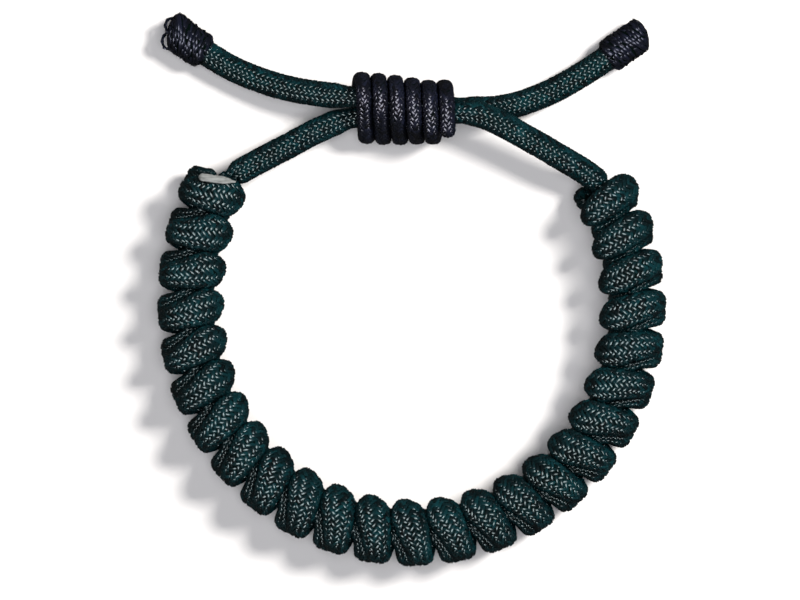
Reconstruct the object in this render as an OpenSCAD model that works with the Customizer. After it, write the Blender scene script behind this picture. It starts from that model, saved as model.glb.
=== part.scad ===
// Bracelet of braided nylon cord: two strands tied in a run of snake knots, closed by a sliding knot.
// Millimetres. It lies flat, as it would on a table, with the opening for the wrist along Z.

/* [Band] */
// Radius of the ring that the middle of the band follows
band_r = 33.9; // [33.5:0.1:36]
// How many bars show on the upper side
bars = 25; // [20:1:25]
// Angle from one bar to the next, seen from the ring's centre
bar_step = 10.07; // [10:0.01:10.4]
// Where the first bar starts, counter-clockwise from +X
first_bar = 146.6; // [146:0.1:149]
// How far the band's left end stands outside the ring
left_drift = 2; // [0:0.1:2.5]
// How far the band's right end stands outside the ring
right_drift = 0.4; // [0:0.1:1]
// How many bars near each end lie outside the ring
drift_bars = 4.5; // [3:0.5:6]
// How far the band is rolled over outwards in its middle, in degrees
middle_roll = -4; // [-10:1:2]
// How far it is rolled over at its left end
left_roll = 2; // [-5:1:8]
// How far it is rolled over at its right end
right_roll = 12; // [0:1:14]
// How far the outer side is pulled back along the band at its right end, for each millimetre outwards
right_shear = 0.15; // [0:0.05:0.2]

/* [Knotted strand] */
// Width of the cord where it lies flattened on a bar
bar_w = 5; // [4.6:0.1:5]
// How much wider the upper strand's bars are at their inner end, as a share of that width
bar_taper = 0.35; // [0:0.05:0.35]
// Thickness of the cord on a bar
bar_t = 3.1; // [2.8:0.1:3.1]
// Width of the cord where it passes the band's inner or outer side
side_w = 2.9; // [2.6:0.1:2.9]
// Thickness of the cord there
side_t = 2.45; // [2.2:0.05:2.45]
// Width of the cord where it is pulled tight inside the other strand's loops
core_w = 1.9; // [1.7:0.1:1.9]
// Thickness of the cord there
core_t = 2.15; // [1.9:0.05:2.15]
// Half width of the upper strand's loops, along the band's radius
upper_reach = 3.84; // [3.8:0.01:3.86]
// Half width of the lower strand's loops
lower_reach = 3.16; // [3.14:0.01:3.28]
// How far the lower strand's loops stand further out than the upper strand's
lower_out = 0.7; // [0.56:0.01:0.74]

/* [Plain cord] */
// Diameter of the cord where it runs plain
cord_d = 3.9; // [3.6:0.1:3.9]
// Diameter of the two cords where the sliding knot grips them
gripped_d = 3.2; // [3:0.1:3.2]

/* [Sliding knot] */
// Distance from one wrap of the black cord to the next
wrap_pitch = 2.55; // [2.5:0.05:2.6]
// Width of the black cord
wrap_w = 2.45; // [2.1:0.05:2.45]
// Thickness of the black cord
wrap_t = 2.1; // [1.9:0.05:2.1]
// Distance from the middle of the black cord to the middle of the cord that it grips
wrap_reach = 2.95; // [2.95:0.05:3]

/* [Ends] */
// Length of the left end's whipping
left_whipping_l = 7.6; // [6:0.1:8]
// Diameter of the left end's whipping
left_whipping_d = 5.6; // [5.3:0.1:5.6]
// Length of the right end's whipping
right_whipping_l = 8; // [6:0.1:8]
// Diameter of the right end's whipping
right_whipping_d = 5.4; // [5.1:0.1:5.6]
// Length of the melted end that shows at the band's left end
seared_l = 5.8; // [4:0.1:6]
// Width of that melted end
seared_w = 1.45; // [1:0.05:1.45]
// Thickness of that melted end
seared_t = 0.6; // [0.4:0.05:0.6]

/* [Hidden] */

green = "#12342f";
black = "#20202a";
grey = "#a9aaa8";

// Place of the ring's centre; the origin is below the middle of the band and the sliding knot
ring_at = [0.06, 1.02, 0];

// Sides of each tube, and the rings on one turn of a strand or of the sliding knot
strand_sides = 10;
strand_rings = 12;
cord_sides = 8;
cord_ring_gap = 3;
wrap_sides = 8;
wrap_rings = 16;

pitch = band_r * bar_step * PI / 180;
band_l = (bars - 1) * pitch;
// Height of the band's middle above the table
mid_h = 5.45;

// The loops of each strand: how they lean along the band, in pitches (sine and cosine of one turn and of
// half a turn), half width, how much wider they are at the bar than in the core, how square they are, how
// far their middle stands off the band's middle, half height, and how much wider the cord is where they begin
LEAN = 0;
REACH = 1;
FLARE = 2;
SQUARE = 3;
LIFT = 4;
RISE = 5;
TAPER = 6;
upper = [[-0.055, 0.005, -0.03, 0.045], upper_reach, 0.32, -0.085, 1.2, 2.9, bar_taper];
lower = [[0.045, -0.055, -0.02, 0], lower_reach, 0.25, -0.08, 1.15, 2.56, -0.2];
// How far the lower strand's loops lie behind the upper strand's, in pitches
lower_shift = 0.15;
// How far above the middle of its loops a strand has the full width of a bar, as a share of half their height
shoulder = 0.9;

// The turns at which the strands begin and end, counted from the first bar's inner end
upper_turns = [-3 / 12, bars - 1 + 7 / 12];
lower_turns = [-3 / 12, bars - 1 + 6 / 12];

// Route of the cord from the band's left end, through the sliding knot, to the right free end
cord_left_route = [
    [-28.5, 20.45, 6.7], [-27.9, 20.8, 6.7], [-27, 21.35, 6.6], [-25.7, 22.1, 6.4], [-23.7, 23.2, 6.2],
    [-19.1, 25.6, 5.6], [-14.6, 28, 4.9], [-11.1, 29.5, 4.4], [-8.6, 30.1, 4.3], [-5, 30.4, 4.1],
    [-1.3, 30.7, 4], [2.4, 31.1, 4], [6, 31.5, 4.1], [9, 31.4, 4], [12.4, 31.4, 3.8], [16.6, 32.2, 3.3],
    [21.7, 34.2, 2.8], [26.2, 36.7, 2.75], [29.7, 39, 2.75], [32.7, 41.1, 2.75], [35.4, 43, 2.75]
];
// Route of the cord from the band's right end, through the sliding knot, to the left free end
cord_right_route = [
    [30.55, 19.6, 4.3], [29.7, 19.6, 4.1], [28.5, 20.3, 4.5], [26.4, 21.8, 5.1], [24, 23.2, 6.2],
    [18.3, 26.5, 7.1], [14.6, 28.5, 7.6], [11.5, 30, 7.9], [9, 30.6, 8], [6, 30.7, 7.8], [2.4, 31.4, 7.7],
    [-1.3, 32, 7.4], [-5, 32.6, 7.1], [-8.6, 33.1, 6.6], [-11.1, 33.3, 6.2], [-14.6, 33.7, 5.4],
    [-19.4, 34.6, 4.2], [-23.8, 36, 3.3], [-27.8, 37.7, 2.85], [-31.4, 39.8, 2.85], [-34.1, 41.5, 2.85],
    [-36.8, 43.2, 2.85]
];
// How far from its start in the band a plain cord has its full size, and its diameter at that start
swell_l = 2.4;
thin_d = 2;
// Where the sliding knot's grip begins and ends along X, and how far it fades out beyond
grip_from = -9.6;
grip_to = 7.2;
grip_fade = 2.5;

// The pair of cords in the sliding knot, at its left and right end: place, angle of the upper cord
// over the lower one, and the distance between the two
pair_left = [-8.6, 31.6, 5.4];
pair_right = [6, 31.1, 6];
pair_turn = [36, 104];
pair_gap = 3.7;
// Which turns the black cord makes, counted from the first wrap's top, and where that top is along X
wrap_turns = [-0.27, 5.42];
first_wrap_x = -7.75;
// How much less than half a pitch a wrap advances on the side that shows
wrap_lean = 0.2;
// How much looser the wraps are at the right end: how much further they reach each way, and how far they hang
wrap_spread = 1;
wrap_sag = 0.4;

// Where each whipping starts on its cord, its direction round Z, and its bore round the cord
left_whipping_at = [-31.4, 39.8, 2.85];
left_whipping_turn = 147.8;
right_whipping_at = [29.7, 39, 2.75];
right_whipping_turn = 35;
whipping_bore_d = cord_d + 0.15;
whipping_tip_t = 0.5;
whipping_rim_r = 1;

// Middle of the melted end, how far it leans back over the first bar's edge, and its direction round Z
seared_at = [-29.8, 20.4, 10.95];
seared_lean = 37;
seared_turn = -12;
seared_tip_d = 0.6;

// Vectors and curves

function unit(v) = v / norm(v);
function ease(x) = let (c = min(1, max(0, x))) c * c * (3 - 2 * c);
function flip(p) = [p[0], -p[1], -p[2]];
function sum(list, i = 0) = i == len(list) - 1 ? list[i] : list[i] + sum(list, i + 1);

// The point at x, from 0 to 1, of a curve from a to b that leaves along da and arrives along db
function curve(a, da, b, db, x) =
    a * (2 * pow(x, 3) - 3 * pow(x, 2) + 1) + da * (pow(x, 3) - 2 * pow(x, 2) + x)
    + b * (3 * pow(x, 2) - 2 * pow(x, 3)) + db * (pow(x, 3) - pow(x, 2));

// The point at x, from 0 to 1, of a smooth line through a route's points
function through(route, x) =
    let (
        last = len(route) - 1,
        i = min(last - 1, floor(x * last)),
        a = route[i],
        b = route[i + 1],
        before = i == 0 ? 2 * a - b : route[i - 1],
        after = i == last - 1 ? 2 * b - a : route[i + 2]
    )
    curve(a, (b - before) / 2, b, (after - a) / 2, x * last - i);

// Tubes

// One section of a tube: its centre, its direction, the side that its thin way faces, and half sizes
function section(c, along, face, half_w, half_t, sides) =
    let (n = unit(face - along * (face * along)), w = cross(along, n))
    [for (i = [0:sides - 1]) let (a = 360 * (i + 0.5) / sides) c + w * half_w * cos(a) + n * half_t * sin(a)];

// A closed solid through sections that all have the same number of points
module tube(sections) {
    sides = len(sections[0]);
    last = len(sections) - 1;
    cap = (last + 1) * sides;
    walls = [for (k = [0:last - 1], i = [0:sides - 1])
        let (a = k * sides + i, b = k * sides + (i + 1) % sides)
        each [[a, a + sides, b + sides], [a, b + sides, b]]];
    first_cap = [for (i = [0:sides - 1]) [cap, i, (i + 1) % sides]];
    last_cap = [for (i = [0:sides - 1]) [cap + 1, last * sides + (i + 1) % sides, last * sides + i]];
    polyhedron(
        [each [for (ring = sections) each ring], sum(sections[0]) / sides, sum(sections[last]) / sides],
        [each walls, each first_cap, each last_cap]
    );
}

// Knotted strands, laid in the straight band first: along the band, outwards, and up from its middle

// A point of the straight band, bent round the ring with the drift, roll and shear of its ends
function on_band(p) =
    let (
        left = pow(max(0, 1 - p[0] / (drift_bars * pitch)), 2),
        right = pow(max(0, 1 - (band_l - p[0]) / (drift_bars * pitch)), 2),
        roll = middle_roll + (left_roll - middle_roll) * left + (right_roll - middle_roll) * right,
        out = p[1] * cos(roll) + p[2] * sin(roll),
        up = p[2] * cos(roll) - p[1] * sin(roll),
        r = band_r + left_drift * left + right_drift * right + out,
        along = p[0] - right_shear * right * (out + upper_reach),
        a = first_bar + along / band_r * 180 / PI
    )
    [r * cos(a), r * sin(a), mid_h + up];

// Where a strand is after a number of turns of its loops
function lay(turns, loops) =
    let (a = 360 * turns, lean = loops[LEAN])
    [
        pitch * (turns + lean[0] * sin(a) + lean[1] * (1 - cos(a)) + lean[2] * sin(2 * a)
            + lean[3] * (1 - cos(2 * a))),
        -loops[REACH] * (cos(a) * (1 + loops[FLARE] * sin(a)) + loops[SQUARE] * (cos(a) - cos(3 * a))),
        loops[LIFT] + loops[RISE] * sin(a)
    ];

// A strand's size after a number of turns: from the core through the side to the bar
function swell(core, side, bar, turns) =
    let (k = sin(360 * turns)) side + (bar - side) * ease(k / shoulder) + (core - side) * ease(-k);

// The side of the cord that looks out of its loop, for a direction in the straight band
function outward(d) = [0, -d[2], d[1]];

function strand_section(turns, loops) =
    let (
        step = 0.001,
        d = lay(turns + step, loops) - lay(turns - step, loops),
        taper = loops[TAPER] * ease((bars - 1 - turns) / drift_bars),
        w = swell(core_w, side_w, bar_w * (1 + taper * cos(360 * turns)), turns),
        t = swell(core_t, side_t, bar_t, turns)
    )
    section(lay(turns, loops), unit(d), outward(d), w / 2, t / 2, strand_sides);

function strand_sections(range, loops) =
    let (n = ceil((range[1] - range[0]) * strand_rings))
    [for (i = [0:n]) strand_section(range[0] + (range[1] - range[0]) * i / n, loops)];

module upper_strand() {
    flat = strand_sections(upper_turns, upper);
    color(green) translate(ring_at) tube([for (ring = flat) [for (p = ring) on_band(p)]]);
}

module lower_strand() {
    flat = strand_sections(lower_turns, lower);
    place = [lower_shift * pitch, lower_out, 0];
    color(green) translate(ring_at) tube([for (ring = flat) [for (p = ring) on_band(flip(p) + place)]]);
}

// Plain cords

// A plain cord's radius at a point of its route: thin in the band, full outside, gripped in the knot
function cord_r(p, from_band) =
    let (
        grown = (thin_d + (cord_d - thin_d) * ease(from_band / swell_l)) / 2,
        grip = ease(1 - max(grip_from - p[0], p[0] - grip_to, 0) / grip_fade)
    )
    min(grown, cord_d / 2 - (cord_d - gripped_d) / 2 * grip);

module plain_cord(route) {
    long = sum([for (i = [1:len(route) - 1]) norm(route[i] - route[i - 1])]);
    n = ceil(long / cord_ring_gap) * 2;
    step = 0.001;
    color(green) translate(ring_at) tube([
        for (i = [0:n])
            let (
                x = i / n,
                c = through(route, x),
                d = through(route, min(1, x + step)) - through(route, max(0, x - step)),
                r = cord_r(c, norm(c - route[0]))
            )
            section(c, -unit(d), [0, 0, 1], r, r, cord_sides)
    ]);
}

module closing_cord_left() plain_cord(cord_left_route);

module closing_cord_right() plain_cord(cord_right_route);

// Sliding knot

// The middle of the black cord after a number of turns round the pair of plain cords
function wrap_at(turns) =
    let (
        x = first_wrap_x + wrap_pitch * (turns - wrap_lean * (1 - cos(360 * turns)) / 2),
        f = (x - pair_left[0]) / (pair_right[0] - pair_left[0]),
        middle = pair_left + (pair_right - pair_left) * f,
        pair = pair_turn[0] + (pair_turn[1] - pair_turn[0]) * f,
        a = 360 * turns,
        aside = pair_gap / 2 * min(1, max(-1, 2.2 * cos(a - pair))),
        loose = (wrap_spread * cos(a) - wrap_sag) * sin(90 * f),
        y = middle[1] + aside * cos(pair) + wrap_reach * cos(a) + loose,
        z = middle[2] + aside * sin(pair) + wrap_reach * sin(a)
    )
    [x, y, z];

module sliding_knot() {
    n = ceil((wrap_turns[1] - wrap_turns[0]) * wrap_rings);
    step = 0.01;
    color(black) translate(ring_at) tube([
        for (i = [0:n])
            let (
                turns = wrap_turns[0] + (wrap_turns[1] - wrap_turns[0]) * i / n,
                d = wrap_at(turns + step) - wrap_at(turns - step),
                half = (0.5 + 0.5 * ease(min(i, n - i) / 2)) / 2
            )
            section(wrap_at(turns), -unit(d), outward(d), wrap_w * half, wrap_t * half, wrap_sides)
    ]);
}

// Ends

// A sleeve of wound thread, closed at its tip, with the cord's end in it
module whipping(at, turn, l, d) {
    color(black) translate(ring_at + at) rotate([0, 90, turn]) rotate_extrude($fn = 32) difference() {
        union() {
            square([d / 2, l - whipping_rim_r]);
            square([d / 2 - whipping_rim_r, l]);
            translate([d / 2 - whipping_rim_r, l - whipping_rim_r]) circle(whipping_rim_r, $fn = 24);
        }
        square([whipping_bore_d / 2, l - whipping_tip_t]);
        translate([-d, -d]) square([d, 4 * d]);
    }
}

module left_end_whipping() whipping(left_whipping_at, left_whipping_turn, left_whipping_l, left_whipping_d);

module right_end_whipping()
    whipping(right_whipping_at, right_whipping_turn, right_whipping_l, right_whipping_d);

// A strand's end, cut off and melted flat: blunt on the outside, drawn out thin on the inside
module seared_end() {
    color(grey) translate(ring_at + seared_at) rotate([-seared_lean, 0, seared_turn])
        scale([1, 1, seared_t / seared_w]) hull() {
            translate([(seared_w - seared_l) / 2, 0, 0]) sphere(d = seared_w, $fn = 16);
            sphere(d = seared_w, $fn = 16);
            translate([(seared_l - seared_tip_d) / 2, 0, 0]) sphere(d = seared_tip_d, $fn = 16);
        }
}

upper_strand();
lower_strand();
closing_cord_left();
closing_cord_right();
sliding_knot();
left_end_whipping();
right_end_whipping();
seared_end();
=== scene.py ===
import math

import bpy
import numpy as np
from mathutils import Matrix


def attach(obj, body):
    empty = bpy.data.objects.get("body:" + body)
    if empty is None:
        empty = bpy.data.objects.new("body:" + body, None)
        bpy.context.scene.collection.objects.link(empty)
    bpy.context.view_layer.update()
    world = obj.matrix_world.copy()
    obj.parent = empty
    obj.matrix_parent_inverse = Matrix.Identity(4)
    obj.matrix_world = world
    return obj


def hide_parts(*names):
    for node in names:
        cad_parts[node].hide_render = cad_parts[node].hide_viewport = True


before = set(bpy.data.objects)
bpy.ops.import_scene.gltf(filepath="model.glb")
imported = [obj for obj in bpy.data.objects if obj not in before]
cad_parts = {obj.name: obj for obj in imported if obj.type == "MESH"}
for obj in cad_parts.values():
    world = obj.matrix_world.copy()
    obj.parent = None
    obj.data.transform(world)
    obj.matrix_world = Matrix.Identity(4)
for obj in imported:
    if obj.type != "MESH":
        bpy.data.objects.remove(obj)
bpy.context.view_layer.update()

# Sizes are in millimetres and angles in degrees, as in the solids, where no comment says otherwise
MM = 0.001
TURN = 2 * math.pi
# Where the centre of the band's ring is in the frame
RING_AT = np.array([0.06, 1.02, 0.0])

# The camera looks straight down, from far over the height at which it has the photo's scale. RING_PIXEL is
# where the ring's centre is in the photo.
PIXELS_PER_MM = 6.5
IMAGE_W, IMAGE_H = 800, 600
RING_PIXEL = (412.0, 312.5)
FOCUS_HEIGHT = 6.0
CAMERA_HEIGHT = 1000.0

# The band: its ring, its bars, and how its two ends drift outwards, roll over and are sheared
BAND_R = 33.9
BARS = 25
BAR_STEP = 10.07
PITCH = BAND_R * math.radians(BAR_STEP)
BAND_L = (BARS - 1) * PITCH
FIRST_BAR = 146.6
DRIFT_BARS = 4.5
DRIFT_L = DRIFT_BARS * PITCH
LEFT_DRIFT, RIGHT_DRIFT = 2.0, 0.4
MIDDLE_ROLL, LEFT_ROLL, RIGHT_ROLL = -4.0, 2.0, 12.0
RIGHT_SHEAR = 0.15
MID_H = 5.45

# The two strands' loops in the straight band. lean: how far they lean along it, as the sine and cosine of one
# wave and of a wave half as long. reach: half their width. flare and square: how their outline differs from a
# circle. lift and rise: how high their middle lies and how far they go over and under it. taper: how much
# wider a bar is at the start of its turn, which is its inner end in the upper strand and, because that one is
# turned over, its outer end in the lower one.
UPPER = dict(
    lean=(-0.055, 0.005, -0.03, 0.045), reach=3.84, flare=0.32, square=-0.085, lift=1.2, rise=2.9, taper=0.35,
)
LOWER = dict(
    lean=(0.045, -0.055, -0.02, 0.0), reach=3.16, flare=0.25, square=-0.08, lift=1.15, rise=2.56, taper=-0.2,
)
# How far the lower strand is shifted along the band, in pitches, and outwards
LOWER_SHIFT, LOWER_OUT = 0.15, 0.7
# Between which of its loops' turns each strand runs
UPPER_TURNS = (-3 / 12, BARS - 1 + 7 / 12)
LOWER_TURNS = (-3 / 12, BARS - 1 + 6 / 12)
# The strands' sizes in the core, at the side and on a bar, and how high up a loop the bar has its full size
WIDTHS = (1.9, 2.9, 5.0)
THICKNESSES = (2.15, 2.45, 3.1)
SHOULDER = 0.9

# The plain cords: their diameters, where the sliding knot grips them, and their routes
CORD_D, GRIPPED_D, THIN_D, SWELL_L = 3.9, 3.2, 2.0, 2.4
GRIP_FROM, GRIP_TO, GRIP_FADE = -9.6, 7.2, 2.5
LEFT_ROUTE = [
    (-28.5, 20.45, 6.7), (-27.9, 20.8, 6.7), (-27, 21.35, 6.6), (-25.7, 22.1, 6.4), (-23.7, 23.2, 6.2),
    (-19.1, 25.6, 5.6), (-14.6, 28, 4.9), (-11.1, 29.5, 4.4), (-8.6, 30.1, 4.3), (-5, 30.4, 4.1),
    (-1.3, 30.7, 4), (2.4, 31.1, 4), (6, 31.5, 4.1), (9, 31.4, 4), (12.4, 31.4, 3.8), (16.6, 32.2, 3.3),
    (21.7, 34.2, 2.8), (26.2, 36.7, 2.75), (29.7, 39, 2.75), (32.7, 41.1, 2.75), (35.4, 43, 2.75),
]
RIGHT_ROUTE = [
    (30.55, 19.6, 4.3), (29.7, 19.6, 4.1), (28.5, 20.3, 4.5), (26.4, 21.8, 5.1), (24, 23.2, 6.2),
    (18.3, 26.5, 7.1), (14.6, 28.5, 7.6), (11.5, 30, 7.9), (9, 30.6, 8), (6, 30.7, 7.8), (2.4, 31.4, 7.7),
    (-1.3, 32, 7.4), (-5, 32.6, 7.1), (-8.6, 33.1, 6.6), (-11.1, 33.3, 6.2), (-14.6, 33.7, 5.4),
    (-19.4, 34.6, 4.2), (-23.8, 36, 3.3), (-27.8, 37.7, 2.85), (-31.4, 39.8, 2.85), (-34.1, 41.5, 2.85),
    (-36.8, 43.2, 2.85),
]
# How the left cord's yarn goes on under the melted end, ahead of its route
LEFT_LEAD = [(-29.8, 21.1, 6.8)]

# The sliding knot's black cord: its size and its wraps, and how much its middle wraps spread, and sag towards
# the ring's middle
WRAP_PITCH, WRAP_W, WRAP_T, WRAP_REACH = 2.55, 2.45, 2.1, 2.95
WRAP_TURNS = (-0.27, 5.42)
FIRST_WRAP_X = -7.75
WRAP_LEAN = 0.2
WRAP_SPREAD, WRAP_SAG = 1.0, 0.4
# The pair of plain cords in it: its middle at the knot's two ends, how it is turned there, and how far apart
# the two cords' middles are
PAIR_LEFT, PAIR_RIGHT = np.array([-8.6, 31.6, 5.4]), np.array([6.0, 31.1, 6.0])
PAIR_TURN = (36, 104)
PAIR_GAP = 3.7
# How quickly a wrap passes from one cord of the pair to the other
PAIR_PASSING = 2.2

# The whippings: where each starts on its cord, its direction round Z, its length and diameter, how its tip
# slants, and half of how far it stands out on its right near its tip
LEFT_WHIPPING = dict(at=(-31.4, 39.8, 2.85), turn=147.8, length=7.6, size=5.6, slant=-0.3, swollen=0.3)
RIGHT_WHIPPING = dict(at=(29.7, 39, 2.75), turn=35.0, length=8.0, size=5.4, slant=0.2, swollen=0.05)
# How far ahead of its start a whipping's thread is drawn in to the cord
WHIPPING_LEAD = 0.3

# The loose loops of thread at the left whipping's tip, along the whipping, to its left and upwards
LOOP_THREAD = 0.6
LOOSE_LOOPS = [
    (5, 2.3, 0.3), (6, 2.8, 0.7), (6.8, 2.5, 0.9), (7.3, 1.8, 0.9), (7.4, 1.2, 0.9), (7.1, 0.7, 0.9),
    (7.2, 0.4, 0.9), (7.8, 0.1, 0.9), (8.1, -0.4, 0.9), (8.2, -1, 0.8), (8, -1.6, 0.6), (7.2, -2.1, 0.3),
]

# How finely the paths are drawn: rings in each turn of a strand, and in all for the others
STRAND_RINGS, CORD_RINGS, WRAP_RINGS, THREAD_RINGS = 56, 240, 420, 120
# Over what length each is drawn in at its ends, and the share of its size that is left at the very end
STRAND_TIP, CORD_TIP, WRAP_TIP, WHIPPING_TIP, LOOP_TIP = 0.8, 0.5, 1.2, 1.2, 0.4
LEAST_SIZE = 0.02

# The sheaths: how many columns of floats go round, how long a row is, how thick the floats are and the seed
# of their disorder. fullness is under 1 where the section is fuller than an ellipse. With ways=1 all columns
# lean one way. lean is how far a float's way is turned from the cord's, where it isn't worked out, and
# disorder is how many times the usual disorder there is.
PLAIN_CORD = dict(columns=16, row_step=0.8, thickness=0.27, seed=5)
STRAND = dict(columns=18, row_step=0.76, thickness=0.23, seed=9, fullness=0.92)
KNOT_CORD = dict(columns=12, row_step=0.8, thickness=0.16, seed=13, fullness=0.8)
WHIPPING_THREAD = dict(columns=15, row_step=0.55, thickness=0.2, seed=21, ways=1, lean=72, disorder=3.2)
LOOSE_THREAD = dict(columns=3, row_step=1.0, thickness=0.1, seed=8, ways=1)
# A float's width and length as shares of its room, and how deep it is sunk as a share of its thickness
FLOAT_W, FLOAT_L, FLOAT_SUNK = 1.04, 1.28, 0.75
# Where a float's ridge ends and how low its foot is, as shares of its length and thickness
RIDGE_END, FLOAT_FOOT = 0.34, -0.2
# How far a float may be out of place, as a share of its room, how far out of true, in radians, and how its
# size varies
MISPLACED, MISTURNED, PLUMPNESS = 0.05, (0.05, 0.16, 0.08), (0.94, 1.06)
TURN_SEED, PLUMP_SEED, TONE_SEED = 7, 3, 11
# In metres: the height of a float's room, and how near to each other points are that are merged
ROOM_H, MERGED = 0.0005, 0.000002

# The melted end: its place, how it leans and turns, its size and how finely it is drawn
SEARED_AT, SEARED_LEAN, SEARED_TURN = (-29.8, 20.4, 10.95), 37, -8
SEARED_L, SEARED_W, SEARED_T = 5.8, 1.45, 0.6
SEARED_RINGS, SEARED_SIDES = 36, 16
# How blunt it is on the outside, and the square of the share of its width that is left there
SEARED_BLUNTNESS, SEARED_FACE = 14, 0.02
# Its narrowing to the inside: from where and over what share of its length, by how much and how late, and the
# half width of its point
NARROW_FROM, NARROW_OVER, NARROWED, NARROW_LATE, SEARED_POINT = 0.05, 0.45, 0.75, 1.5, 0.01
# How rough it is, what the sum over three neighbours is divided by, and how much rougher it is upwards
SEARED_ROUGH, ROUGH_SHARED, ROUGH_UP = 0.03, 1.6, 1.5
SEARED_SEED = 4


# Camera


def add_camera():
    camera = bpy.data.cameras.new("camera")
    camera.lens = camera.sensor_width * CAMERA_HEIGHT / (IMAGE_W / PIXELS_PER_MM)
    place = bpy.data.objects.new("camera", camera)
    x = RING_AT[0] + (IMAGE_W / 2 - RING_PIXEL[0]) / PIXELS_PER_MM
    y = RING_AT[1] + (RING_PIXEL[1] - IMAGE_H / 2) / PIXELS_PER_MM
    place.location = (x * MM, y * MM, (CAMERA_HEIGHT + FOCUS_HEIGHT) * MM)
    bpy.context.collection.objects.link(place)
    bpy.context.scene.camera = place


add_camera()


# Curves

UPWARDS = np.array([[0.0, 0.0, 1.0]])


def turned_about(axis, degrees):
    """The matrix that turns points about X or Z."""
    cosine, sine = math.cos(math.radians(degrees)), math.sin(math.radians(degrees))
    if axis == "X":
        return np.array([[1, 0, 0], [0, cosine, -sine], [0, sine, cosine]])
    return np.array([[cosine, -sine, 0], [sine, cosine, 0], [0, 0, 1]])


def ease(x):
    share = np.clip(x, 0, 1)
    return share * share * (3 - 2 * share)


def unit(v):
    return v / np.linalg.norm(v, axis=-1, keepdims=True)


def through(route, x):
    """The points at x, from 0 to 1, of a smooth line through a route's points."""
    route = np.array(route, float)
    last = len(route) - 1
    i = np.minimum(last - 1, np.floor(x * last).astype(int))
    a, b = route[i], route[i + 1]
    before = np.where((i == 0)[:, None], 2 * a - b, route[np.maximum(i - 1, 0)])
    after = np.where((i == last - 1)[:, None], 2 * b - a, route[np.minimum(i + 2, last)])
    t = (x * last - i)[:, None]
    return (
        a * (2 * t**3 - 3 * t**2 + 1) + (b - before) / 2 * (t**3 - 2 * t**2 + t)
        + b * (3 * t**2 - 2 * t**3) + (after - a) / 2 * (t**3 - t**2)
    )


def on_band(points):
    """Points of the straight band, bent round the ring with the drift, roll and shear of its ends."""
    x, y, z = points[:, 0], points[:, 1], points[:, 2]
    left = np.maximum(0, 1 - x / DRIFT_L) ** 2
    right = np.maximum(0, 1 - (BAND_L - x) / DRIFT_L) ** 2
    roll = np.radians(MIDDLE_ROLL + (LEFT_ROLL - MIDDLE_ROLL) * left + (RIGHT_ROLL - MIDDLE_ROLL) * right)
    out = y * np.cos(roll) + z * np.sin(roll)
    up = z * np.cos(roll) - y * np.sin(roll)
    radius = BAND_R + LEFT_DRIFT * left + RIGHT_DRIFT * right + out
    along = x - RIGHT_SHEAR * right * (out + UPPER["reach"])
    angle = math.radians(FIRST_BAR) + along / BAND_R
    return np.stack([radius * np.cos(angle), radius * np.sin(angle), MID_H + up], -1)


def lay(turns, loops):
    """Where a strand is in the straight band after some turns of its loops."""
    angle = TURN * turns
    sine, cosine, short_sine, short_cosine = loops["lean"]
    along = (
        turns + sine * np.sin(angle) + cosine * (1 - np.cos(angle))
        + short_sine * np.sin(2 * angle) + short_cosine * (1 - np.cos(2 * angle))
    )
    flared = np.cos(angle) * (1 + loops["flare"] * np.sin(angle))
    squared = loops["square"] * (np.cos(angle) - np.cos(3 * angle))
    up = loops["lift"] + loops["rise"] * np.sin(angle)
    return np.stack([PITCH * along, -loops["reach"] * (flared + squared), up], -1)


def swell(sizes, turns, taper):
    """A strand's size after some turns: from the core through the side to the bar, which is wider at the
    start of its turn by the share taper, except towards the band's right end."""
    core, side, bar = sizes
    height = np.sin(TURN * turns)
    before_right_end = ease((BARS - 1 - turns) * PITCH / DRIFT_L)
    bar = bar * (1 + taper * before_right_end * np.cos(TURN * turns))
    return side + (bar - side) * ease(height / SHOULDER) + (core - side) * ease(-height)


def frame_of(towards, face):
    """The side and face directions of a cord's sections."""
    square_on = unit(face - towards * (face * towards).sum(-1, keepdims=True))
    return np.cross(towards, square_on), square_on


def loop_face(way):
    """The direction at right angles to a way and to X, which is where a loop's or a wrap's section faces."""
    return np.stack([0 * way[:, 0], -way[:, 2], way[:, 1]], -1)


def tapered(middle, wide, thick, tip):
    """Draws a cord's two ends in to a point over a short length, so that its sheath is closed."""
    step = np.linalg.norm(np.diff(middle, axis=0), axis=-1)
    at = np.concatenate([[0], np.cumsum(step)])
    from_end = np.minimum(at, at[-1] - at)
    share = np.sqrt(np.clip(from_end / tip, LEAST_SIZE**2, 1))[:, None]
    return middle + RING_AT, wide * share, thick * share


def length_of(path):
    return float(np.linalg.norm(np.diff(path, axis=0), axis=-1).sum())


def girth_of(wide, thick):
    """How far it is round a cord's section, where the cord is of middling size."""
    a, b = (np.median(np.linalg.norm(half, axis=-1)) for half in (wide, thick))
    return math.pi * (3 * (a + b) - math.sqrt((3 * a + b) * (a + 3 * b)))


def strand_path(turns, loops, flipped):
    """A knotted strand's middle, and the half width and half thickness of the cord as vectors."""
    at = np.linspace(*turns, int((turns[1] - turns[0]) * STRAND_RINGS))
    step = 0.001
    middle = lay(at, loops)
    way = lay(at + step, loops) - lay(at - step, loops)
    side, face = frame_of(unit(way), loop_face(way))
    side = side * swell(WIDTHS, at, loops["taper"])[:, None] / 2
    face = face * swell(THICKNESSES, at, 0)[:, None] / 2
    if flipped:
        turn = np.array([1, -1, -1])
        middle = middle * turn + [LOWER_SHIFT * PITCH, LOWER_OUT, 0]
        side, face = side * turn, face * turn
    wide = (on_band(middle + side) - on_band(middle - side)) / 2
    thick = (on_band(middle + face) - on_band(middle - face)) / 2
    return tapered(on_band(middle), wide, thick, STRAND_TIP)


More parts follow.
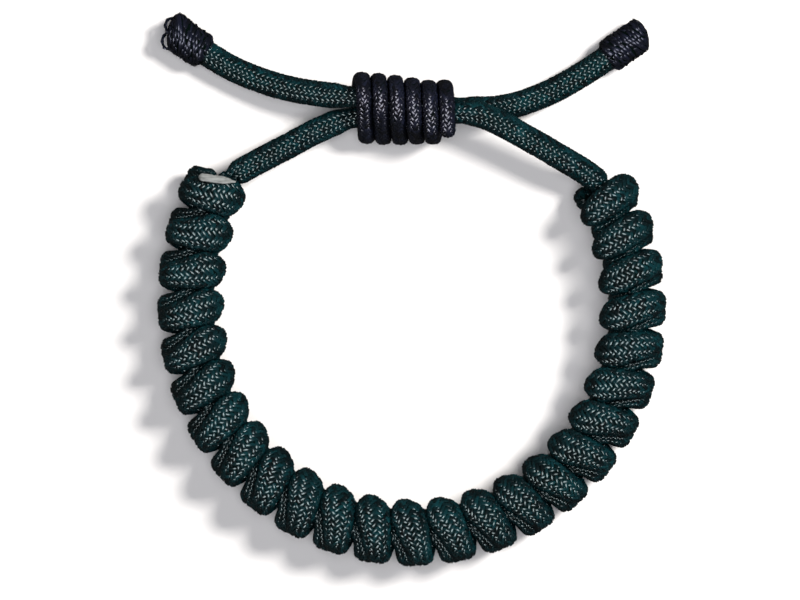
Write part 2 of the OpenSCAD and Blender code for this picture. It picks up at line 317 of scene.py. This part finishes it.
def cord_path(route, lead):
    """The same for a plain cord: thin in the band and in the lead before its route, full outside, gripped in
    the sliding knot."""
    points = lead + route
    at = np.linspace(0, 1, CORD_RINGS)
    step = 0.001
    middle = through(points, at)
    way = through(points, np.minimum(1, at + step)) - through(points, np.maximum(0, at - step))
    beyond_lead = at * (len(points) - 1) > len(lead)
    from_band = beyond_lead * np.linalg.norm(middle - np.array(route[0]), axis=-1)
    grown = (THIN_D + (CORD_D - THIN_D) * ease(from_band / SWELL_L)) / 2
    beyond = np.maximum(np.maximum(GRIP_FROM - middle[:, 0], middle[:, 0] - GRIP_TO), 0)
    gripped = CORD_D / 2 - (CORD_D - GRIPPED_D) / 2 * ease(1 - beyond / GRIP_FADE)
    radius = np.minimum(grown, gripped)[:, None]
    side, face = frame_of(unit(way), UPWARDS)
    return tapered(middle, side * radius, face * radius, CORD_TIP)


def wrap_at(turns):
    """The middle of the black cord after some turns round the pair of plain cords."""
    angle = TURN * turns
    x = FIRST_WRAP_X + WRAP_PITCH * (turns - WRAP_LEAN * (1 - np.cos(angle)) / 2)
    share = (x - PAIR_LEFT[0]) / (PAIR_RIGHT[0] - PAIR_LEFT[0])
    middle = PAIR_LEFT + (PAIR_RIGHT - PAIR_LEFT) * share[:, None]
    pair = np.radians(PAIR_TURN[0] + (PAIR_TURN[1] - PAIR_TURN[0]) * share)
    aside = PAIR_GAP / 2 * np.clip(PAIR_PASSING * np.cos(angle - pair), -1, 1)
    loose = (WRAP_SPREAD * np.cos(angle) - WRAP_SAG) * np.sin(TURN / 4 * share)
    return np.stack([
        x,
        middle[:, 1] + aside * np.cos(pair) + WRAP_REACH * np.cos(angle) + loose,
        middle[:, 2] + aside * np.sin(pair) + WRAP_REACH * np.sin(angle),
    ], -1)


def wrap_path():
    """The same for the sliding knot's black cord."""
    turns = np.linspace(*WRAP_TURNS, WRAP_RINGS)
    step = 0.01
    middle = wrap_at(turns)
    way = wrap_at(turns + step) - wrap_at(turns - step)
    side, face = frame_of(unit(way), loop_face(way))
    return tapered(middle, side * WRAP_W / 2, face * WRAP_T / 2, WRAP_TIP)


def on_whipping(points, at, turn):
    """Points that are given along a whipping, to its left and upwards, as places in the bracelet."""
    return points @ turned_about("Z", turn).T + np.array(at)


def whipping_path(at, turn, length, size, slant, swollen):
    """A whipping's middle line from the plain cord to the slanted tip, and its half sizes."""
    x = np.linspace(-WHIPPING_LEAD, length, THREAD_RINGS)
    near_tip = ease(x / length) ** 2
    radius = size / 2 + swollen * near_tip
    none = 0 * x
    middle = on_whipping(np.stack([x, -swollen * near_tip, none], -1), at, turn)
    side = np.stack([slant * near_tip, 1 + none, none], -1) @ turned_about("Z", turn).T * radius[:, None]
    face = UPWARDS * (size / 2 + none)[:, None]
    return tapered(middle, side, face, WHIPPING_TIP)


def loose_loops_path():
    """The thread's two small loops that stand off the left end's tip, with light between them and the tip."""
    points = through(LOOSE_LOOPS, np.linspace(0, 1, THREAD_RINGS))
    middle = on_whipping(points, LEFT_WHIPPING["at"], LEFT_WHIPPING["turn"])
    side, face = frame_of(unit(np.gradient(middle, axis=0)), UPWARDS)
    return tapered(middle, side * LOOP_THREAD / 2, face * LOOP_THREAD / 2, LOOP_TIP)


# Colours and materials


def linear(code):
    """An sRGB hex colour as linear red, green, blue and alpha."""
    parts = [int(code[i:i + 2], 16) / 255 for i in (1, 3, 5)]
    return [c / 12.92 if c <= 0.04045 else ((c + 0.055) / 1.055) ** 2.4 for c in parts] + [1.0]


def add(tree, kind, links=None, **settings):
    """Adds a node with its settings, sets or links its inputs by name or place, and returns its first output
    that is shown."""
    node = tree.nodes.new(kind)
    for key, value in settings.items():
        setattr(node, key, value)
    for key, value in (links or {}).items():
        named = [s for s in node.inputs if s.name == key and s.enabled]
        socket = node.inputs[key] if isinstance(key, int) else named[0]
        if isinstance(value, bpy.types.NodeSocket):
            tree.links.new(value, socket)
        else:
            socket.default_value = value
    shown = [s for s in node.outputs if s.enabled]
    return shown[0] if shown else node


def bare_material(name):
    """A material without nodes, and its node tree."""
    material = bpy.data.materials.new(name)
    material.use_nodes = True
    material.node_tree.nodes.clear()
    return material, material.node_tree


def nylon_yarn(name, dark, light, glint, roughness):
    """Dyed nylon yarn: smooth bright filaments that run along each float, so that a float shines in a short
    line at its crest and stays deep in colour elsewhere, and no two floats have quite the same tone."""
    material, tree = bare_material(name)
    shade = add(tree, "ShaderNodeAttribute", attribute_name="shade").node.outputs["Fac"]
    thread = add(tree, "ShaderNodeAttribute", attribute_name="thread").node.outputs["Vector"]
    place = add(tree, "ShaderNodeTexCoord").node.outputs["Object"]
    cloud = add(tree, "ShaderNodeTexNoise", {"Vector": place, "Scale": 260.0, "Detail": 2.0})
    tone = add(tree, "ShaderNodeMath", {0: shade, 1: cloud}, operation="MULTIPLY")
    colour = add(tree, "ShaderNodeMix", {
        "Factor": tone, "A": linear(dark), "B": linear(light),
    }, data_type="RGBA")
    # About a dozen filaments lie side by side in a float half a millimetre wide
    stretched = add(tree, "ShaderNodeMapping", {"Vector": thread, "Scale": (11.0, 1.3, 1.0)})
    seeded = add(tree, "ShaderNodeVectorMath", {0: stretched, 1: shade}, operation="ADD")
    filaments = add(tree, "ShaderNodeTexNoise", {"Vector": seeded, "Scale": 1.0, "Detail": 1.0})
    bump = add(tree, "ShaderNodeBump", {"Height": filaments, "Distance": 0.00003, "Strength": 0.2})
    # Nylon's own index is 1.53, and this higher one gives the glints their strength in the photo
    shader = add(tree, "ShaderNodeBsdfPrincipled", {
        "Base Color": colour, "Normal": bump, "Roughness": roughness, "IOR": 1.7, "Specular IOR Level": 1.0,
        "Specular Tint": linear(glint),
    })
    add(tree, "ShaderNodeOutputMaterial", {"Surface": shader})
    return material


def painted_shade_yarn():
    """Yarn deep between the floats, where hardly any light comes back out: matt, and painted nearly black for
    the shade it lies in.
    """
    material, tree = bare_material("painted_shade_nylon_yarn")
    place = add(tree, "ShaderNodeTexCoord").node.outputs["Object"]
    cloud = add(tree, "ShaderNodeTexNoise", {"Vector": place, "Scale": 1500.0, "Detail": 2.0})
    # Painted shade: a near-black colour with a little random cloud, in place of the green yarn's own colour
    colour = add(tree, "ShaderNodeMix", {
        "Factor": cloud, "A": linear("#010302"), "B": linear("#04100e"),
    }, data_type="RGBA")
    shader = add(tree, "ShaderNodeBsdfPrincipled", {
        "Base Color": colour, "Roughness": 1.0, "Specular IOR Level": 0.08,
    })
    add(tree, "ShaderNodeOutputMaterial", {"Surface": shader})
    return material


def melted_nylon():
    """Nylon melted with a flame and pressed flat: pale grey with darker streaks along it, where it was drawn
    out, and a soft shine."""
    material, tree = bare_material("melted_nylon")
    place = add(tree, "ShaderNodeTexCoord").node.outputs["Object"]
    turned = add(tree, "ShaderNodeMapping", {
        "Vector": place, "Rotation": (0, 0, math.radians(-SEARED_TURN)), "Scale": (700.0, 2600.0, 2600.0),
    })
    streaks = add(tree, "ShaderNodeTexNoise", {"Vector": turned, "Scale": 1.0, "Detail": 3.0})
    colour = add(tree, "ShaderNodeMix", {
        "Factor": streaks, "A": linear("#1a1e1c"), "B": linear("#b2b7b5"),
    }, data_type="RGBA")
    bump = add(tree, "ShaderNodeBump", {"Height": streaks, "Distance": 0.00012, "Strength": 0.8})
    shader = add(tree, "ShaderNodeBsdfPrincipled", {
        "Base Color": colour, "Normal": bump, "Roughness": 0.42, "IOR": 1.53,
    })
    add(tree, "ShaderNodeOutputMaterial", {"Surface": shader})
    return material


def paper():
    """Matt white background paper: even and pale, so that only the soft shadows show on it."""
    material = bpy.data.materials.new("matt_paper")
    material.use_nodes = True
    shader = material.node_tree.nodes["Principled BSDF"]
    shader.inputs["Base Color"].default_value = linear("#f6f6f5")
    shader.inputs["Roughness"].default_value = 0.95
    shader.inputs["Specular IOR Level"].default_value = 0.1
    return material


# Geometry Nodes: a sheath of yarn on a path

MATH, VECTOR_MATH, RANDOM = "ShaderNodeMath", "ShaderNodeVectorMath", "FunctionNodeRandomValue"


def float_mesh():
    """One float of yarn, where it passes over the others: a low ridge with its long way along Y, closed
    below. Its lower edge is sharp, so that its sides shade as one smooth ridge."""
    points = [(0.0, -0.5, FLOAT_FOOT)]
    for y in (-RIDGE_END, RIDGE_END):
        points += [(-0.5, y, FLOAT_FOOT), (0.0, y, 1.0), (0.5, y, FLOAT_FOOT)]
    points.append((0.0, 0.5, FLOAT_FOOT))
    ridge = {2, 5}
    faces = [(0, 2, 1), (0, 3, 2), (1, 2, 5, 4), (2, 3, 6, 5), (4, 5, 7), (5, 6, 7), (0, 1, 4, 7, 6, 3)]
    mesh = bpy.data.meshes.new("float")
    mesh.from_pydata(points, [], faces)
    for edge in mesh.edges:
        edge.use_edge_sharp = not ridge & set(edge.vertices)
    thread = mesh.attributes.new("thread", "FLOAT_VECTOR", "POINT")
    thread.data.foreach_set("vector", np.array(points).ravel())
    return bpy.data.objects.new("float", mesh)


def float_spots(tree, given, index, odd, column):
    """Where each float lies on the flat strip, a little out of place."""
    gap = add(tree, MATH, {0: given["Girth"], 1: given["Columns"]}, operation="DIVIDE")
    step = add(tree, MATH, {0: given["Length"], 1: given["Rows"]}, operation="DIVIDE")
    rows_before = add(tree, MATH, {0: index, 1: given["Columns"]}, operation="DIVIDE")
    row = add(tree, MATH, {0: rows_before}, operation="FLOOR")
    across = add(tree, MATH, {0: column, 1: 0.5}, operation="ADD")
    along = add(tree, MATH, {0: odd, 1: 0.5, 2: row}, operation="MULTIPLY_ADD")
    even = add(tree, "ShaderNodeCombineXYZ", {"X": across, "Y": along})
    shaken = add(tree, RANDOM, {
        "Min": (-MISPLACED,) * 3, "Max": (MISPLACED,) * 3, "ID": index, "Seed": given["Seed"],
    }, data_type="FLOAT_VECTOR")
    disordered = add(tree, VECTOR_MATH, {0: shaken, "Scale": given["Disorder"]}, operation="SCALE")
    placed = add(tree, VECTOR_MATH, {0: even, 1: disordered}, operation="ADD")
    room = add(tree, "ShaderNodeCombineXYZ", {"X": gap, "Y": step, "Z": ROOM_H})
    return add(tree, "GeometryNodePoints", {
        "Count": add(tree, MATH, {0: given["Rows"], 1: given["Columns"]}, operation="MULTIPLY"),
        "Position": add(tree, VECTOR_MATH, {0: placed, 1: room}, operation="MULTIPLY"),
    })


def laid_floats(tree, given):
    """The floats on the flat strip. Each has its lean, is turned a little out of true, and has its own
    plumpness and tone."""
    index = add(tree, "GeometryNodeInputIndex")
    column = add(tree, MATH, {0: index, 1: given["Columns"]}, operation="FLOORED_MODULO")
    odd = add(tree, MATH, {0: column, 1: given["Ways"]}, operation="FLOORED_MODULO")
    side = add(tree, MATH, {0: odd, 1: 2.0, 2: -1.0}, operation="MULTIPLY_ADD")
    lean = add(tree, MATH, {0: side, 1: given["Lean"]}, operation="MULTIPLY")
    loose = add(tree, RANDOM, {
        "Min": tuple(-a for a in MISTURNED), "Max": MISTURNED, "ID": index, "Seed": TURN_SEED,
    }, data_type="FLOAT_VECTOR")
    looser = add(tree, VECTOR_MATH, {0: loose, "Scale": given["Disorder"]}, operation="SCALE")
    leaning = add(tree, "ShaderNodeCombineXYZ", {"Z": lean})
    plump = add(tree, RANDOM, {"Min": PLUMPNESS[0], "Max": PLUMPNESS[1], "ID": index, "Seed": PLUMP_SEED})
    floats = add(tree, "GeometryNodeInstanceOnPoints", {
        "Points": float_spots(tree, given, index, odd, column),
        "Instance": add(tree, "GeometryNodeObjectInfo", {"Object": given["Float"]}).node.outputs["Geometry"],
        "Rotation": add(tree, VECTOR_MATH, {0: leaning, 1: looser}, operation="ADD"),
        "Scale": add(tree, VECTOR_MATH, {0: given["Float size"], "Scale": plump}, operation="SCALE"),
    })
    tones = add(tree, RANDOM, {"Min": 0.0, "Max": 1.0, "ID": index, "Seed": TONE_SEED})
    toned = add(tree, "GeometryNodeStoreNamedAttribute", {
        "Geometry": floats, "Name": "shade", "Value": tones,
    }, domain="INSTANCE")
    real = add(tree, "GeometryNodeRealizeInstances", {"Geometry": toned})
    return add(tree, "GeometryNodeSetMaterial", {"Geometry": real, "Material": given["Yarn"]})


def strip_below(tree, given):
    """The plain strip under the floats, which shows between them in the near-black painted shade."""
    strip = add(tree, "GeometryNodeMeshGrid", {
        "Size X": given["Girth"], "Size Y": given["Length"],
        "Vertices X": add(tree, MATH, {0: given["Columns"], 1: 1.0}, operation="ADD"),
        "Vertices Y": add(tree, MATH, {0: given["Rows"], 1: 1.0}, operation="ADD"),
    })
    corner = add(tree, "ShaderNodeCombineXYZ", {"X": given["Girth"], "Y": given["Length"]})
    from_zero = add(tree, "GeometryNodeSetPosition", {
        "Geometry": strip, "Offset": add(tree, VECTOR_MATH, {0: corner, "Scale": 0.5}, operation="SCALE"),
    })
    return add(tree, "GeometryNodeSetMaterial", {"Geometry": from_zero, "Material": given["Gaps"]})


def wrapped_round(tree, given, strip):
    """The strip wrapped round the path, and sunk until the floats' crests lie on the cord's surface."""
    line = add(tree, "GeometryNodeMeshToCurve", {"Mesh": given["Path"]})
    flat = add(tree, "ShaderNodeSeparateXYZ", {0: add(tree, "GeometryNodeInputPosition")}).node.outputs
    way_round = add(tree, MATH, {0: flat[0], 1: given["Girth"]}, operation="DIVIDE")
    angle = add(tree, MATH, {0: way_round, 1: TURN}, operation="MULTIPLY")
    towards, away = {}, {}
    for name, wave in (("wide", "COSINE"), ("thick", "SINE")):
        # The cord's half size where a point of the strip goes
        stored = add(tree, "GeometryNodeInputNamedAttribute", {"Name": name}, data_type="FLOAT_VECTOR")
        found = add(tree, "GeometryNodeSampleCurve", {
            "Curves": line, "Value": stored, "Length": flat[1],
        }, data_type="FLOAT_VECTOR", mode="LENGTH").node.outputs
        half = next(s for s in found if s.name == "Value" and s.enabled)
        # The section is an ellipse made fuller: the sine and cosine keep their sign and are raised to a power
        swing = add(tree, MATH, {0: angle}, operation=wave)
        sign = add(tree, MATH, {0: swing}, operation="SIGN")
        size = add(tree, MATH, {0: swing}, operation="ABSOLUTE")
        fuller = add(tree, MATH, {0: size, 1: given["Fullness"]}, operation="POWER")
        part = add(tree, MATH, {0: sign, 1: fuller}, operation="MULTIPLY")
        towards[name] = add(tree, VECTOR_MATH, {0: half, "Scale": part}, operation="SCALE")
        # An ellipse faces outwards by each half size over its own square
        length = add(tree, VECTOR_MATH, {0: half}, operation="LENGTH").node.outputs["Value"]
        over_square = add(tree, MATH, {0: length, 1: -2.0}, operation="POWER")
        steepness = add(tree, MATH, {0: over_square, 1: swing}, operation="MULTIPLY")
        away[name] = add(tree, VECTOR_MATH, {0: half, "Scale": steepness}, operation="SCALE")
    middle = found["Position"]
    slope = add(tree, VECTOR_MATH, {0: away["wide"], 1: away["thick"]}, operation="ADD")
    outwards = add(tree, VECTOR_MATH, {0: slope}, operation="NORMALIZE")
    on_section = add(tree, VECTOR_MATH, {0: towards["wide"], 1: towards["thick"]}, operation="ADD")
    height = add(tree, MATH, {0: flat[2], 1: given["Sink"]}, operation="SUBTRACT")
    # Where the cord is drawn in to its end, nothing is sunk past its middle
    from_middle = add(tree, VECTOR_MATH, {0: on_section}, operation="LENGTH").node.outputs["Value"]
    lowest = add(tree, MATH, {0: from_middle, 1: -1.0}, operation="MULTIPLY")
    limited = add(tree, MATH, {0: height, 1: lowest}, operation="MAXIMUM")
    raised = add(tree, VECTOR_MATH, {0: outwards, "Scale": limited}, operation="SCALE")
    around = add(tree, VECTOR_MATH, {0: middle, 1: on_section}, operation="ADD")
    return add(tree, "GeometryNodeSetPosition", {
        "Geometry": strip, "Position": add(tree, VECTOR_MATH, {0: around, 1: raised}, operation="ADD"),
    })


def sheath_tree():
    """Lays columns of floats on a flat strip and wraps the strip round a path. With two ways the columns lean
    left and right in turn, as in a braid. With one way they all lean alike, as a wound thread's turns do."""
    tree = bpy.data.node_groups.new("yarn_sheath", "GeometryNodeTree")
    for name, kind in (
        ("Path", "Geometry"), ("Float", "Object"), ("Columns", "Int"), ("Rows", "Int"), ("Ways", "Int"),
        ("Girth", "Float"), ("Length", "Float"), ("Float size", "Vector"), ("Lean", "Float"),
        ("Sink", "Float"), ("Fullness", "Float"), ("Disorder", "Float"), ("Seed", "Int"),
        ("Yarn", "Material"), ("Gaps", "Material"),
    ):
        tree.interface.new_socket(name, in_out="INPUT", socket_type="NodeSocket" + kind)
    tree.interface.new_socket("Sheath", in_out="OUTPUT", socket_type="NodeSocketGeometry")
    given = add(tree, "NodeGroupInput").node.outputs
    both = add(tree, "GeometryNodeJoinGeometry")
    for part in (strip_below(tree, given), laid_floats(tree, given)):
        tree.links.new(part, both.node.inputs[0])
    wrapped = wrapped_round(tree, given, both)
    sewn = add(tree, "GeometryNodeMergeByDistance", {"Geometry": wrapped, "Distance": MERGED})
    smooth = add(tree, "GeometryNodeSetShadeSmooth", {"Geometry": sewn})
    add(tree, "NodeGroupOutput", {"Sheath": smooth})
    return tree


def drawn_path(name, path):
    """A path as a line of edges that bears the cord's half sizes."""
    middle, wide, thick = path
    mesh = bpy.data.meshes.new(name + "_path")
    mesh.from_pydata((middle * MM).tolist(), [(i, i + 1) for i in range(len(middle) - 1)], [])
    for key, values in (("wide", wide), ("thick", thick)):
        mesh.attributes.new(key, "FLOAT_VECTOR", "POINT").data.foreach_set("vector", (values * MM).ravel())
    drawn = bpy.data.objects.new(name + "_path", mesh)
    bpy.context.collection.objects.link(drawn)
    return drawn


def sheathed(
    name, path, yarn, columns, row_step, thickness, seed, fullness=1.0, ways=2, lean=None, disorder=1.0,
):
    """A cord along a path with its sheath of yarn, as a plain mesh. Where lean isn't given, a float lies from
    corner to corner of its room."""
    middle, wide, thick = path
    drawn = drawn_path(name, path)
    length = length_of(middle)
    girth = girth_of(wide, thick)
    rows = round(length / row_step)
    gap, step = girth / columns, length / rows
    leaning = math.radians(lean) if lean else math.atan2(gap, step)
    float_w = FLOAT_W * step * math.sin(leaning)
    float_l = FLOAT_L * math.hypot(gap, step)
    values = {
        "Float": float_shape, "Columns": columns, "Rows": rows, "Ways": ways, "Girth": girth * MM,
        "Length": length * MM, "Lean": leaning, "Sink": FLOAT_SUNK * thickness * MM, "Fullness": fullness,
        "Disorder": disorder, "Seed": seed, "Float size": (float_w * MM, float_l * MM, thickness * MM),
        "Yarn": yarn, "Gaps": painted_shade_gaps,
    }
    modifier = drawn.modifiers.new("sheath", "NODES")
    modifier.node_group = sheath
    for item in sheath.interface.items_tree:
        if item.in_out == "INPUT" and item.name in values:
            modifier[item.identifier] = values[item.name]
    seen = drawn.evaluated_get(bpy.context.evaluated_depsgraph_get())
    result = bpy.data.meshes.new_from_object(seen)
    result.name = name
    drawn.modifiers.clear()
    bpy.data.objects.remove(drawn)
    piece = bpy.data.objects.new(name, result)
    bpy.context.collection.objects.link(piece)
    return piece


def dress(piece, node):
    """Lets a piece stand for a node of the solids: hangs it under the root body and hides that node's solid.
    """
    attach(piece, "root")
    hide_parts(node)
    return piece


# The pieces made of yarn

green = nylon_yarn("green_braided_nylon", "#01070a", "#063c42", "#e2f4f0", 0.26)
black = nylon_yarn("black_braided_nylon", "#030509", "#1a1f32", "#f0f0fc", 0.27)
waxed = nylon_yarn("black_waxed_thread", "#030509", "#171b2d", "#d4d8ea", 0.32)
# The near-black painted shade that shows between the floats
painted_shade_gaps = painted_shade_yarn()

float_shape = float_mesh()
bpy.context.collection.objects.link(float_shape)
sheath = sheath_tree()

cord_paths = {"left": cord_path(LEFT_ROUTE, LEFT_LEAD), "right": cord_path(RIGHT_ROUTE, [])}
cords, threads = {}, {}
for side, path in cord_paths.items():
    cords[side] = sheathed(f"plain_cord_{side}", path, green, **PLAIN_CORD)
    dress(cords[side], f"closing_cord_{side}")
for side, sizes in (("left", LEFT_WHIPPING), ("right", RIGHT_WHIPPING)):
    thread = sheathed(f"whipping_thread_{side}", whipping_path(**sizes), waxed, **WHIPPING_THREAD)
    threads[side] = [dress(thread, f"{side}_end_whipping")]
loops = sheathed("loose_thread_loops", loose_loops_path(), waxed, **LOOSE_THREAD)
threads["left"].append(dress(loops, "left_end_whipping"))

upper = sheathed("braided_upper_strand", strand_path(UPPER_TURNS, UPPER, False), green, **STRAND)
lower = sheathed("braided_lower_strand", strand_path(LOWER_TURNS, LOWER, True), green, **STRAND)
knot = sheathed("braided_sliding_knot", wrap_path(), black, **KNOT_CORD)
dress(upper, "upper_strand")
dress(lower, "lower_strand")
dress(knot, "sliding_knot")
bpy.data.objects.remove(float_shape)


# The melted end


def melted_end():
    """The trimmed end's melted edge: blunt and ragged on the outside, drawn out to a point on the inside."""
    rng = np.random.default_rng(SEARED_SEED)
    rings, sides = SEARED_RINGS, SEARED_SIDES
    x = np.linspace(-0.5, 0.5, rings)
    half = 0.5 * SEARED_W * np.clip((x + 0.5) * SEARED_BLUNTNESS, SEARED_FACE, 1) ** 0.5
    half *= 1 - NARROWED * ease((x - NARROW_FROM) / NARROW_OVER) ** NARROW_LATE
    half[-1] = SEARED_POINT
    angle = TURN * (np.arange(sides) + 0.5) / sides
    rough = rng.normal(size=(rings, sides)) * SEARED_ROUGH
    rough = (rough + np.roll(rough, 1, 0) + np.roll(rough, 1, 1)) / ROUGH_SHARED
    y = half[:, None] * (np.cos(angle) + rough)
    z = half[:, None] * SEARED_T / SEARED_W * (np.sin(angle) + rough * ROUGH_UP)
    points = np.stack([np.repeat(x[:, None] * SEARED_L, sides, 1), y, z], -1).reshape(-1, 3)
    points = points @ (turned_about("Z", SEARED_TURN) @ turned_about("X", -SEARED_LEAN)).T
    points = points + np.array(SEARED_AT) + RING_AT
    faces = [
        (k * sides + i, k * sides + (i + 1) % sides, (k + 1) * sides + (i + 1) % sides, (k + 1) * sides + i)
        for k in range(rings - 1) for i in range(sides)
    ]
    faces += [tuple(reversed(range(sides))), tuple((rings - 1) * sides + i for i in range(sides))]
    mesh = bpy.data.meshes.new("melted_end")
    mesh.from_pydata((points * MM).tolist(), [], faces)
    mesh.shade_smooth()
    mesh.materials.append(melted_nylon())
    piece = bpy.data.objects.new("melted_end", mesh)
    bpy.context.collection.objects.link(piece)
    return piece


dress(melted_end(), "seared_end")


# Floor and light


def add_stage():
    """White paper, just under the lowest yarn. Its sizes are in metres."""
    reach, height = 3.0, -0.00012
    corners = [(x * reach, y * reach, height) for x, y in ((-1, -1), (1, -1), (1, 1), (-1, 1))]
    mesh = bpy.data.meshes.new("floor")
    mesh.from_pydata(corners, [], [(0, 1, 2, 3)])
    mesh.materials.append(paper())
    floor = bpy.data.objects.new("floor", mesh)
    bpy.context.collection.objects.link(floor)
    # The yarn's sides stay deep in colour in the photo, so they don't mirror the paper
    floor.visible_glossy = False


def add_softbox(name, azimuth, elevation, distance, size, power, colour):
    """A round softbox that points at the bracelet, with its distance and size in metres and its power in
    watts."""
    lamp = bpy.data.lights.new(name, "AREA")
    lamp.shape = "DISK"
    lamp.size = size
    lamp.energy = power
    lamp.color = linear(colour)[:3]
    place = bpy.data.objects.new(name, lamp)
    around, up = math.radians(azimuth), math.radians(elevation)
    way = np.array([math.cos(around) * math.cos(up), math.sin(around) * math.cos(up), math.sin(up)])
    place.location = way * distance
    place.rotation_euler = (math.pi / 2 - up, 0, around + math.pi / 2)
    bpy.context.collection.objects.link(place)
    return place


def add_world(colour, strength):
    world = bpy.data.worlds.new("studio")
    world.use_nodes = True
    background = world.node_tree.nodes["Background"]
    background.inputs["Color"].default_value = linear(colour)
    background.inputs["Strength"].default_value = strength
    bpy.context.scene.world = world


add_stage()
key = add_softbox(
    "key_softbox", azimuth=28, elevation=50, distance=0.9, size=0.28, power=11, colour="#fffaf6",
)
# The glints in the photo are those of a wide light overhead, so this one, which throws the shadows, has none
key.visible_glossy = False
add_softbox(
    "overhead_softbox", azimuth=250, elevation=82, distance=1.15, size=0.8, power=7.4, colour="#fbfaff",
)
add_world("#f5f2f1", 0.045)
bpy.context.scene.view_settings.view_transform = "Standard"
